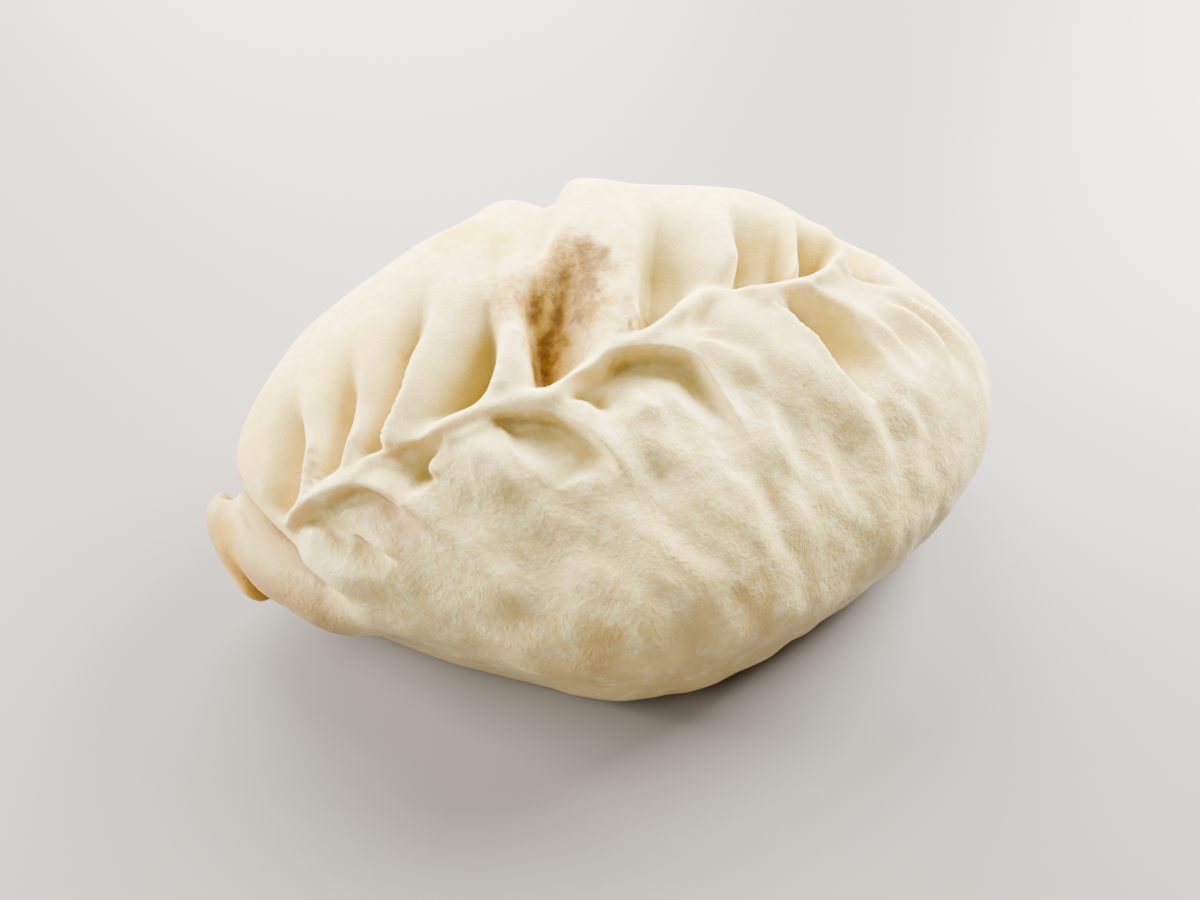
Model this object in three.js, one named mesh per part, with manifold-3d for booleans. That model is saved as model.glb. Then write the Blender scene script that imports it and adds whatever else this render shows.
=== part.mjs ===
// A leaf-pleated steamed bun: one piece of dough, closed along a wavy seam by pleats that
// lean to one side, with a rolled tail at one end. Millimetres. +X runs along the seam
// from the tail to the plain end, +Y is the side of the long pleats and +Z is up.
// The bun stands on its flat foot, and the origin is at the middle of the body's foot.

import * as THREE from 'three';
import { mergeVertices } from 'three/addons/utils/BufferGeometryUtils.js';
import Module from 'manifold-3d';

// The plain dough body
const LENGTH = 116;
const WIDTH = 84;
const HEIGHT = 44;
const LEAN = 0.22;          // the crown rises by this for each millimetre towards +Y
const WAIST = 17;           // height of the widest level
const FULLNESS = 2.3;       // 2 is an ellipse from waist to crown, more is fuller
const FOOT = 0.8;           // the flat foot, as a share of the waist
const FOOT_TURN = 0.72;     // sine of the angle below level at which the foot begins
const FOOT_HOLD = 4;        // the relief fades out below this height, so the foot stays flat
const SKIN_DETAIL = 20;      // rows of triangles on each of the skin's 20 faces, less one
const SKIN_EASE = 1;         // times that each skin point is eased towards its neighbours
const CROWDING = 1.25;       // above 1, the triangles crowd to the crown, where the pleats are

// The seam's wave across the bun
const SEAM_MIDDLE = -4.5;
const SEAM_SWING = 3.5;
const SEAM_CREST = 27;
const SEAM_WAVE = 120;
const SEAM_START = -55.5;
const SEAM_END = 42;
const SEAM_RAISED = 1.8;
const SEAM_BREADTH = 2.2;

const FOLD_STEPS = 24;      // straight steps that a fold's curve is followed in
const FOLD_OPENS = 0.15;    // share of its run over which a fold opens at the seam
const FOLD_LOW = 3;         // folds die out between these two heights above the foot
const FOLD_HIGH = 12;

// A fold leaves the seam at the length "at", off to its side by "off", and curls from one
// heading to the other, in degrees from +X, over its run. Dough on one side of it sinks by
// "depth" over "hollow", and on the other rises in a lip, "edge" wide with a "shoulder"
// behind, that leans back over the hollow by "lean". It begins to fade at "fade" of its run
// and its edge widens by "grow".
const FOLD = { off: -1, curl: 1, lip: 1.2, edge: 2.8, shoulder: 6, lean: 0.6, fade: 0.3, grow: 0.8 };

const LONG_PLEATS = [
  { at: -51.4, off: 1, from: 58, to: 126, run: 21, depth: 4.0, hollow: 6.5, fade: 0.35 },
  { at: -46.4, off: 0, from: 52, to: 104, run: 26, depth: 4.2, hollow: 6 },
  { at: -40.6, off: 0, from: 47, to: 77, run: 30, depth: 4.4, hollow: 7.5, lip: 1.8 },
  { at: -28.4, from: 46, to: 77, run: 38, depth: 4.8, hollow: 11, shoulder: 7 },
  { at: -17.6, from: 39, to: 86, run: 41, depth: 7.0, hollow: 8.5, shoulder: 10 },
  { at: -1.5, from: 49, to: 79, run: 26, depth: 2.8, hollow: 5, shoulder: 9 },
  { at: 14.0, from: 29, to: 98, run: 24, depth: 4.8, hollow: 10, fade: 0.35 },
  { at: 25.2, off: -2, from: 18, to: 101, run: 21, depth: 5.8, hollow: 8, lip: 1.8, fade: 0.35 },
  { at: 37.7, off: -2, from: 53, to: 72, run: 17, depth: 2.6, hollow: 5 },
  { at: 20.0, off: -2.7, from: -43, to: -70, run: 26, depth: 4.6, hollow: 9, lip: 2.4,
    shoulder: 8, fade: 0.4 },
];

const SHORT_PLEATS = [
  { at: -54.0, from: 4, to: -74, run: 23, depth: 3.8, hollow: 10, lip: 2.4, fade: 0.5 },
  { at: -52.1, off: -4, from: -21, to: -50, run: 16, depth: 2.4, hollow: 4, lip: 1.6, fade: 0.5 },
  { at: -38.1, from: 17, to: -62, run: 19, depth: 4.0, hollow: 7, lip: 1.8 },
  { at: -25.5, from: 5, to: -92, run: 23, depth: 4.8, hollow: 10, lip: 2, fade: 0.45 },
  { at: -13.9, from: 50, to: -80, curl: 0.5, run: 38, depth: 6.2, hollow: 12, lip: 2.2,
    shoulder: 8, fade: 0.25 },
  { at: 4.1, off: -1.5, from: -20, to: -79, run: 24, depth: 2.0, hollow: 5, fade: 0.2 },
  { at: 22.0, off: -2.3, from: -8, to: -69, run: 18, depth: 1.4, hollow: 6, fade: 0.5 },
  { at: 40.0, off: -2.2, from: -46, to: -75, run: 15, depth: 1.6, hollow: 4, fade: 0.4 },
  { at: 45.0, off: -1.6, from: -30, to: -69, run: 15, depth: 1.6, hollow: 4, fade: 0.4 },
];

// Plump rolls of dough between the pleats, laid out like the folds
const ROLLS = [
  { at: -48.8, off: 1.7, from: 53, to: 109, run: 19, raised: 1.8, breadth: 2.4 },
  { at: -41.8, off: 1.5, from: 61, to: 85, run: 22, raised: 1.8, breadth: 2.6 },
  { at: -32.7, off: 1.7, from: 54, to: 69, run: 30, raised: 1.2, breadth: 4 },
  { at: -20.1, off: 1.3, from: 56, to: 74, run: 18, raised: 2.0, breadth: 2 },
  { at: -5.1, off: 3.0, from: 52, to: 70, run: 27, raised: 1.0, breadth: 4 },
  { at: 8.3, off: 1.2, from: 50, to: 83, run: 26, raised: 1.6, breadth: 5 },
  { at: 24.3, off: 0, from: 63, to: 83, run: 22, raised: 1.4, breadth: 3.2 },
  { at: 11.3, off: -1.3, from: -38, to: -88, run: 32, raised: 1.8, breadth: 4.5 },
];

// Dents and swellings of the skin: the middle, the radius and the depth
const DENTS = [
  [-33, -12, 36.5, 2.8, 3.6],
  [-27.5, -13.5, 38, 4, -1.4],
  [-43.7, -16, 30, 1.6, 1.4],
  [8.7, -5.2, 42.5, 3.5, 1.6],
  [-7, -22.5, 36.5, 2.6, 1.6],
  [-55, -9, 20, 5, 1.5],
  [-47, -22, 8, 7, 2.2],
  [-36, -33, 9, 10, 2.4],
  [45, 16, 30, 12, 2.2],
  [-42, 20, 32, 12, 1.6],
  [30, 19, 39, 11, -2],
  [-20, 23, 42, 10, -2.2],
];

// The tail: a roll that lies round the end of the body, and the lip at its tip
const TAIL = {
  path: [[-60, 13, 16], [-60.5, 6, 14.5], [-58.5, 0, 14], [-55, -5, 14], [-51, -9, 14], [-45, -12, 13]],
  radius: 5.9,
};
const TAIL_LIP = { path: [[-64.5, 14, 16.5], [-65, 8, 13.5], [-63.5, 2, 10], [-62.5, -2, 8]], radius: 2.8 };
const TAIL_STEPS = 20;
const TAIL_SIDES = 16;

const smooth = (low, high, value) => THREE.MathUtils.smoothstep(value, low, high);

function planRadius(bearing) {
  const a = LENGTH / 2;
  const b = WIDTH / 2;
  const ellipse = a * b / Math.hypot(b * Math.cos(bearing), a * Math.sin(bearing));
  return ellipse * (1 + 0.045 * Math.cos(2 * bearing + 1.25) + 0.04 * Math.cos(4 * bearing + 1));
}

function crown(y) {
  return HEIGHT + LEAN * y - WAIST;
}

// Height of the plain dome above a point of the plan
function domeHeight(x, y) {
  const share = Math.min(Math.hypot(x, y) / planRadius(Math.atan2(y, x)), 1);
  return WAIST + crown(y) * (1 - share ** FULLNESS) ** (1 / FULLNESS);
}

// The point of the plain body that a unit direction leads to
function bodyPoint(direction) {
  const bearing = Math.atan2(direction.y, direction.x);
  const rise = Math.abs(direction.z);
  const level = Math.sqrt(Math.max(1 - rise * rise, 0));
  let share = level ** (2 / FULLNESS);
  if (direction.z < 0) {
    const turn = Math.PI / 2 * Math.min(rise / FOOT_TURN, 1);
    share = rise < FOOT_TURN
      ? FOOT + (1 - FOOT) * Math.cos(turn)
      : FOOT * level / Math.sqrt(1 - FOOT_TURN ** 2);
    const reach = share * planRadius(bearing);
    return new THREE.Vector3(reach * Math.cos(bearing), reach * Math.sin(bearing),
      WAIST * (1 - Math.sin(turn)));
  }
  const reach = share * planRadius(bearing);
  const y = reach * Math.sin(bearing);
  return new THREE.Vector3(reach * Math.cos(bearing), y, WAIST + crown(y) * rise ** (2 / FULLNESS));
}

function seamY(x) {
  return SEAM_MIDDLE + SEAM_SWING * Math.cos(2 * Math.PI * (x - SEAM_CREST) / SEAM_WAVE);
}

function onDome(x, y) {
  return new THREE.Vector3(x, y, domeHeight(x, y));
}

// A curve on the skin that leaves the seam and curls from one heading to another
function curl(stroke) {
  let x = stroke.at;
  let y = seamY(x) + stroke.off;
  const points = [onDome(x, y)];
  for (let i = 0; i < FOLD_STEPS; i += 1) {
    const share = ((i + 0.5) / FOLD_STEPS) ** stroke.curl;
    const heading = THREE.MathUtils.degToRad(stroke.from + (stroke.to - stroke.from) * share);
    x += Math.cos(heading) * stroke.run / FOLD_STEPS;
    y += Math.sin(heading) * stroke.run / FOLD_STEPS;
    points.push(onDome(x, y));
  }
  return points;
}

function seamCurve() {
  const points = [];
  for (let i = 0; i <= FOLD_STEPS; i += 1) {
    const x = SEAM_START + (SEAM_END - SEAM_START) * i / FOLD_STEPS;
    points.push(onDome(x, seamY(x)));
  }
  return points;
}

// Where a skin point lies by a curve: how far along it as a share, and how far to its left
function place(point, normal, points) {
  let nearest = { away: Infinity };
  const step = new THREE.Vector3();
  const offset = new THREE.Vector3();
  for (let i = 1; i < points.length; i += 1) {
    step.subVectors(points[i], points[i - 1]);
    offset.subVectors(point, points[i - 1]);
    const share = THREE.MathUtils.clamp(offset.dot(step) / step.lengthSq(), 0, 1);
    offset.addScaledVector(step, -share);
    if (offset.length() < nearest.away) {
      const left = new THREE.Vector3().crossVectors(normal, step).normalize();
      const side = offset.dot(left) < 0 ? -1 : 1;
      nearest = { away: offset.length(), side, left, along: (i - 1 + share) / (points.length - 1) };
    }
  }
  return nearest;
}

// A fold's rise along the normal and its lean over the hollow, at one skin point
function foldShift(point, normal, fold) {
  const { away, side, left, along } = place(point, normal, fold.points);
  const across = away * side * fold.side;
  const strength = smooth(0, FOLD_OPENS, along) * (1 - smooth(fold.fade, 1, along));
  if (across < 0) {
    return { rise: -fold.depth * strength * Math.max(1 + across / fold.hollow, 0) ** 2, lean: null };
  }
  const edge = fold.edge * (1 + fold.grow * along);
  const up = smooth(0, edge, across);
  const back = 1 - smooth(edge, edge / 2 + fold.shoulder, across);
  const lean = left.multiplyScalar(-fold.side * fold.lean * strength * up * back);
  return { rise: strength * (fold.lip * up * back - fold.depth * (1 - up)), lean };
}

function ridgeRise(point, normal, ridge) {
  const { away, along } = place(point, normal, ridge.points);
  return ridge.raised * Math.exp(-((away / ridge.breadth) ** 2)) * Math.sqrt(Math.sin(Math.PI * along));
}

function dentRise(point) {
  let rise = 0;
  for (const [x, y, z, radius, depth] of DENTS) {
    const away = point.distanceTo(new THREE.Vector3(x, y, z));
    rise -= depth * Math.exp(-((away / radius) ** 2));
  }
  return rise;
}

// A direction moved towards the crown
function crowded(direction) {
  const polar = new THREE.Spherical().setFromVector3(direction.set(direction.y, direction.z, direction.x));
  polar.phi = Math.PI * (polar.phi / Math.PI) ** CROWDING;
  direction.setFromSpherical(polar);
  return direction.set(direction.z, direction.x, direction.y);
}

function makeBody() {
  const geometry = mergePositions(new THREE.IcosahedronGeometry(1, SKIN_DETAIL));
  const position = geometry.getAttribute('position');
  for (let i = 0; i < position.count; i += 1) {
    const point = bodyPoint(crowded(new THREE.Vector3().fromBufferAttribute(position, i)));
    position.setXYZ(i, point.x, point.y, point.z);
  }
  geometry.computeVertexNormals();

  const folds = [
    ...LONG_PLEATS.map((pleat) => ({ ...FOLD, ...pleat, side: -1 })),
    ...SHORT_PLEATS.map((pleat) => ({ ...FOLD, ...pleat, side: 1 })),
  ].map((fold) => ({ ...fold, points: curl(fold) }));
  const ridges = ROLLS.map((roll) => ({ ...roll, points: curl({ ...FOLD, ...roll }) }));
  ridges.push({ raised: SEAM_RAISED, breadth: SEAM_BREADTH, points: seamCurve() });

  const normals = geometry.getAttribute('normal');
  for (let i = 0; i < position.count; i += 1) {
    const point = new THREE.Vector3().fromBufferAttribute(position, i);
    const normal = new THREE.Vector3().fromBufferAttribute(normals, i);
    const shift = new THREE.Vector3();
    for (const fold of folds) {
      const { rise, lean } = foldShift(point, normal, fold);
      shift.addScaledVector(normal, rise);
      if (lean) shift.add(lean);
    }
    for (const ridge of ridges) shift.addScaledVector(normal, ridgeRise(point, normal, ridge));
    shift.multiplyScalar(smooth(FOLD_LOW, FOLD_HIGH, point.z));
    shift.addScaledVector(normal, dentRise(point) * smooth(0, FOOT_HOLD, point.z));
    point.add(shift);
    position.setXYZ(i, point.x, point.y, point.z);
  }
  for (let i = 0; i < SKIN_EASE; i += 1) ease(geometry);
  return geometry;
}

// Moves the points above the foot half way to the middle of their neighbours
function ease(geometry) {
  const position = geometry.getAttribute('position');
  const index = geometry.getIndex();
  const sums = Array.from({ length: position.count }, () => ({ total: new THREE.Vector3(), count: 0 }));
  for (let corner = 0; corner < index.count; corner += 1) {
    const next = corner % 3 === 2 ? corner - 2 : corner + 1;
    const sum = sums[index.getX(corner)];
    sum.total.add(new THREE.Vector3().fromBufferAttribute(position, index.getX(next)));
    sum.count += 1;
  }
  sums.forEach(({ total, count }, i) => {
    if (position.getZ(i) < FOLD_LOW) return;
    const point = new THREE.Vector3().fromBufferAttribute(position, i);
    point.lerp(total.divideScalar(count), 0.5);
    position.setXYZ(i, point.x, point.y, point.z);
  });
}

// A roll of dough with round ends, laid along a curve
function makeRoll({ path, radius }) {
  const curve = new THREE.CatmullRomCurve3(path.map((point) => new THREE.Vector3(...point)));
  const length = curve.getLength();
  const geometry = mergePositions(new THREE.SphereGeometry(1, TAIL_SIDES, TAIL_STEPS));
  const position = geometry.getAttribute('position');
  const up = new THREE.Vector3(0, 0, 1);
  for (let i = 0; i < position.count; i += 1) {
    const { x, y, z } = new THREE.Vector3().fromBufferAttribute(position, i);
    const turn = Math.acos(THREE.MathUtils.clamp(y, -1, 1)) / Math.PI;
    const centre = curve.getPointAt(turn);
    const tangent = curve.getTangentAt(turn);
    const out = new THREE.Vector3().crossVectors(tangent, up).normalize();
    const over = new THREE.Vector3().crossVectors(tangent, out);
    const end = Math.min(turn, 1 - turn) * length / radius;
    const round = end < 1 ? Math.sqrt(1 - (1 - end) ** 2) : 1;
    const ring = Math.hypot(x, z) || 1;
    centre.addScaledVector(out, radius * round * x / ring).addScaledVector(over, radius * round * z / ring);
    position.setXYZ(i, centre.x, centre.y, centre.z);
  }
  return geometry;
}

function mergePositions(geometry) {
  geometry.deleteAttribute('normal');
  geometry.deleteAttribute('uv');
  return mergeVertices(geometry);
}

const wasm = await Module();
wasm.setup();

function toSolid(geometry) {
  return new wasm.Manifold(new wasm.Mesh({
    numProp: 3,
    vertProperties: geometry.getAttribute('position').array,
    triVerts: new Uint32Array(geometry.getIndex().array),
  }));
}

const solid = toSolid(makeBody()).add(toSolid(makeRoll(TAIL))).add(toSolid(makeRoll(TAIL_LIP)));
const mesh = solid.getMesh();
const dough = new THREE.BufferGeometry();
dough.setAttribute('position', new THREE.BufferAttribute(mesh.vertProperties, 3));
dough.setIndex(new THREE.BufferAttribute(mesh.triVerts, 1));
dough.computeVertexNormals();

const bun = new THREE.Mesh(dough, new THREE.MeshStandardMaterial({
  color: '#ece2c6',
  roughness: 0.55,
  metalness: 0,
}));
bun.name = 'bun';

const group = new THREE.Group();
group.add(bun);

export default group;
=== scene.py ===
import math

import bpy
import numpy as np
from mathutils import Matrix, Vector, kdtree, noise


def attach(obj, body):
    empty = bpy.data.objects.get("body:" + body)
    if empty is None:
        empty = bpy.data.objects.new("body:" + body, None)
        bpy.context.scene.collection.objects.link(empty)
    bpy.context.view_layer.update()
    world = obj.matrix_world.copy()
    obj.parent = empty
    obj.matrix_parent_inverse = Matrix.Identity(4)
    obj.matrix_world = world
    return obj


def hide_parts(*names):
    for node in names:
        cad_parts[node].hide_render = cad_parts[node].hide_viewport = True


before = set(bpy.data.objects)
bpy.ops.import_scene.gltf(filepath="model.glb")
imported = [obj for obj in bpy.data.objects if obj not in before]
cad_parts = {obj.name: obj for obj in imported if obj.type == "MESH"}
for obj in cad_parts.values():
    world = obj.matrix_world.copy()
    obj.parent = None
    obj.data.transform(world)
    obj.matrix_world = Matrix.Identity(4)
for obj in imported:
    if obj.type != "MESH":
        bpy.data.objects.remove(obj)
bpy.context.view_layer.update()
bpy.ops.object.select_all(action="DESELECT")

# Camera: it looks down on the bun from the side of the short pleats, a little to the left
# of the middle, from a hand's distance.
aim = Vector((-0.0065, -0.0040, 0.0200))
bearing = math.radians(-22)
elevation = math.radians(51.5)
distance = 0.1435
back = Vector((
    math.sin(bearing) * math.cos(elevation),
    -math.cos(bearing) * math.cos(elevation),
    math.sin(elevation),
))
lens = bpy.data.cameras.new("camera")
lens.lens = 27.6
lens.sensor_width = 36
lens.clip_start = 0.01
camera = bpy.data.objects.new("camera", lens)
bpy.context.collection.objects.link(camera)
camera.location = aim + back * distance
camera.rotation_euler = (-back).to_track_quat("-Z", "Y").to_euler()
bpy.context.scene.camera = camera

# The dough: one piece of risen wheat dough, shut by hand along a wavy seam. It starts as a
# cube that is cut fine and rounded into a plump loaf with a flat foot. Lengths in this
# section are in millimetres, and MM turns them into the scene's metres at the end.
MM = 0.001
LENGTH = 115.4
WIDTH = 83.4
HEIGHT = 44
LEAN = 0.22
WAIST = 17
FULLNESS = 2.3
SKEW = 0.045
SKEW_TURN = 1.25
CORNERS = 0.04
CORNERS_TURN = 1
FOOT = 0.8
FOOT_TURN = 0.72
FOOT_HOLD = 4
CROWDING = 1.25
SKIN_CUTS = 73
FINE_ZONE = ((-60, -36, 16), (56, 17, 60))


def get_points(piece):
    points = np.empty(len(piece.data.vertices) * 3)
    piece.data.vertices.foreach_get("co", points)
    return points.reshape(-1, 3)


def set_points(piece, points):
    piece.data.vertices.foreach_set("co", points.ravel())
    piece.data.update()


def get_normals(piece):
    normals = np.empty(len(piece.data.vertices) * 3)
    piece.data.vertices.foreach_get("normal", normals)
    return normals.reshape(-1, 3)


def smooth(low, high, value):
    share = np.clip((value - low) / (high - low), 0, 1)
    return share * share * (3 - 2 * share)


def plan_radius(turn):
    a, b = LENGTH / 2, WIDTH / 2
    ellipse = a * b / np.hypot(b * np.cos(turn), a * np.sin(turn))
    skewed = 1 + SKEW * np.cos(2 * turn + SKEW_TURN)
    return ellipse * (skewed + CORNERS * np.cos(4 * turn + CORNERS_TURN))


def crown(y):
    return HEIGHT + LEAN * y - WAIST


def dome_height(x, y):
    share = np.minimum(np.hypot(x, y) / plan_radius(np.arctan2(y, x)), 1)
    return WAIST + crown(y) * (1 - share ** FULLNESS) ** (1 / FULLNESS)


def body_points(directions):
    turn = np.arctan2(directions[:, 1], directions[:, 0])
    tip = np.arccos(np.clip(directions[:, 2], -1, 1))
    tip = math.pi * (tip / math.pi) ** CROWDING
    rise, level = np.abs(np.cos(tip)), np.sin(tip)
    below = tip > math.pi / 2
    quarter = math.pi / 2 * np.minimum(rise / FOOT_TURN, 1)
    wall = FOOT + (1 - FOOT) * np.cos(quarter)
    sole = FOOT * level / math.sqrt(1 - FOOT_TURN ** 2)
    under = np.where(rise < FOOT_TURN, wall, sole)
    reach = plan_radius(turn) * np.where(below, under, level ** (2 / FULLNESS))
    x, y = reach * np.cos(turn), reach * np.sin(turn)
    top = WAIST + crown(y) * rise ** (2 / FULLNESS)
    return np.column_stack([x, y, np.where(below, WAIST * (1 - np.sin(quarter)), top)])


bpy.ops.mesh.primitive_cube_add(size=2)
dough = bpy.context.object
dough.name = "dough"
dough.data.name = "dough"
bpy.ops.object.mode_set(mode="EDIT")
bpy.ops.mesh.select_all(action="SELECT")
bpy.ops.mesh.subdivide(number_cuts=SKIN_CUTS)
bpy.ops.mesh.select_mode(type="FACE")
bpy.ops.mesh.select_all(action="DESELECT")
bpy.ops.object.mode_set(mode="OBJECT")
cube = np.tan(get_points(dough) * math.pi / 4)
skin = body_points(cube / np.linalg.norm(cube, axis=1)[:, None])
set_points(dough, skin)
for face in dough.data.polygons:
    spans = zip(FINE_ZONE[0], face.center, FINE_ZONE[1])
    face.select = all(low < place < high for low, place, high in spans)
bpy.ops.object.mode_set(mode="EDIT")
bpy.ops.mesh.subdivide(number_cuts=1, ngon=False)
bpy.ops.object.mode_set(mode="OBJECT")

# The pleats: each pinch folds the dough over, so that one side of a fold is a lip that leans
# over a hollow. The long pleats run up the far side and the short ones curl down the near
# side. A path is where a fold runs, from the seam outwards, in millimetres from the middle.
SEAM = [(-56, -2.5), (-53, -6.5), (-47, -6.5), (-39.5, -6.5), (-34.5, -7), (-27.5, -7), (-19, -7),
        (-15, -8), (-10, -7), (-5, -5), (0, -4.5), (4, -3.5), (8, -1.5), (11.5, -0.5), (15.5, -1.5),
        (20, -2.5), (26, -2), (31, -1.5), (34.5, -2.5), (39.5, -4), (44, -5)]
SEAM_REACH = 20
SEAM_EASE = (0.2, 1.8)
FAR_SIDE = -6
ROUTE_STEPS = 5
JUST_BEFORE = -0.01
NARROW = 0.2
RIDGE_REACH = 2.5
PLEATS_FROM = (3, 12)

# A fold's hollow has a depth, a width and a slope, and lies on its low side. Its edge is as wide
# as the drop from the lip to the hollow. The lip rises, leans over and eases off behind over the
# shoulder. A fold opens, widens and fades at shares of its path, its edge grows along it, and
# its shade tint says how strongly yellow shade is painted into the hollow.
FOLD = {"lip": 0.8, "edge": 1.2, "shoulder": 4, "lean": 0.6, "opens": 0.02, "fades": 0.3, "grow": 0.8,
        "slope": 1.6, "widens": 0.35, "shade_tint": 0.35}
FAR_FOLD = {"opens": 0, "grow": 2.2, "widens": 0, "lip": 1.6, "shoulder": 6, "slope": 2, "shade_tint": 1.8}
LEFT, RIGHT = 1, -1
CRISP_EDGE = 1.5
CRISP_ZONE = 1.7
CRISP_SHARE = 0.85
CRISP_STEPS = 24
FAR_FOLDS = [
    {"path": [(-53, -7), (-50, -4.5), (-49, -1.5), (-48.5, 2), (-48.5, 7.5), (-50, 12)],
     "low": LEFT, "depth": 5.4, "hollow": 8},
    {"path": [(-48.5, -8), (-45, -5.5), (-43.5, -3.5), (-41.5, 1), (-39.5, 6), (-38.5, 13)],
     "low": LEFT, "depth": 5.4, "hollow": 7},
    {"path": [(-41, -8.5), (-37.5, -3.5), (-34.5, 0), (-32, 4.5), (-28, 10.5), (-25, 18)],
     "low": LEFT, "depth": 5.6, "hollow": 9, "lip": 2, "shoulder": 7, "lean": 1},
    {"path": [(-29, -8.5), (-25.5, -5.5), (-23, -3.5), (-21, 0), (-19.5, 4), (-18, 12)],
     "low": LEFT, "depth": 5.4, "hollow": 12, "shoulder": 3},
    {"path": [(-16.5, -8.5), (-15.5, -3.5), (-14.5, 0), (-13.5, 4), (-11, 10), (-8, 17)],
     "low": RIGHT, "depth": 6.4, "hollow": 9, "edge": 1.5, "lip": 0.8, "shoulder": 3, "fades": 0.2,
     "slope": 1.2},
    {"path": [(-16, -8), (-12.5, 0), (-8.5, 5), (-4, 12), (-1.5, 18)],
     "low": RIGHT, "depth": 4, "hollow": 5, "edge": 5, "lip": 0.6, "lean": 0, "grow": 0, "fades": 0.4},
    {"path": [(0, -5), (3, 0.5), (5.5, 5), (8, 9.5), (12, 17), (15, 24)],
     "low": RIGHT, "depth": 4.8, "hollow": 11, "lip": 0.7, "lean": 0.2, "edge": 2.4, "shoulder": 9,
     "slope": 1.2, "grow": 1.2, "fades": 0.25},
    {"path": [(14.5, -3), (19, 3), (20.5, 7), (22.5, 12), (24.5, 16)],
     "low": RIGHT, "depth": 7, "hollow": 9, "lip": 0.8, "edge": 1.4, "slope": 1.1, "fades": 0.4,
     "grow": 1, "shade_tint": 0.7},
    {"path": [(16, -4.5), (23, -1), (26, 2.5), (28, 7.5), (30, 12.5)],
     "low": LEFT, "depth": 5, "hollow": 8, "lip": 0.8, "shoulder": 2.5, "slope": 1.1, "fades": 0.4,
     "grow": 1, "shade_tint": 0.9},
    {"path": [(26, -4), (28.5, 2), (30.5, 6), (33, 11)],
     "low": RIGHT, "depth": 6.4, "hollow": 7, "lip": 0.8, "shoulder": 2.5, "slope": 1.1, "fades": 0.5,
     "grow": 1, "shade_tint": 0.9},
    {"path": [(25, -4), (29, -1), (32, 1), (34.5, 4), (37, 7.5)],
     "low": LEFT, "depth": 5.8, "hollow": 6, "lip": 0.8, "shoulder": 3, "slope": 1.2, "fades": 0.5,
     "grow": 1},
    {"path": [(-14, 6.5), (-10.5, 13.5), (-6.5, 20.5), (-3.5, 26), (-1, 33), (0.5, 38.5)],
     "low": LEFT, "depth": 3, "hollow": 8, "edge": 5, "shoulder": 12, "opens": 0.4, "fades": 0.9,
     "grow": 0, "shade_tint": 0.3, "lip": 0.6},
    {"path": [(38, -5), (36.5, -1.5), (37, 1.5), (38, 4.5), (40.5, 9), (43, 14)],
     "low": RIGHT, "depth": 4.4, "hollow": 7, "lip": 0.8, "shoulder": 3, "slope": 1.3, "fades": 0.4},
]
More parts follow.
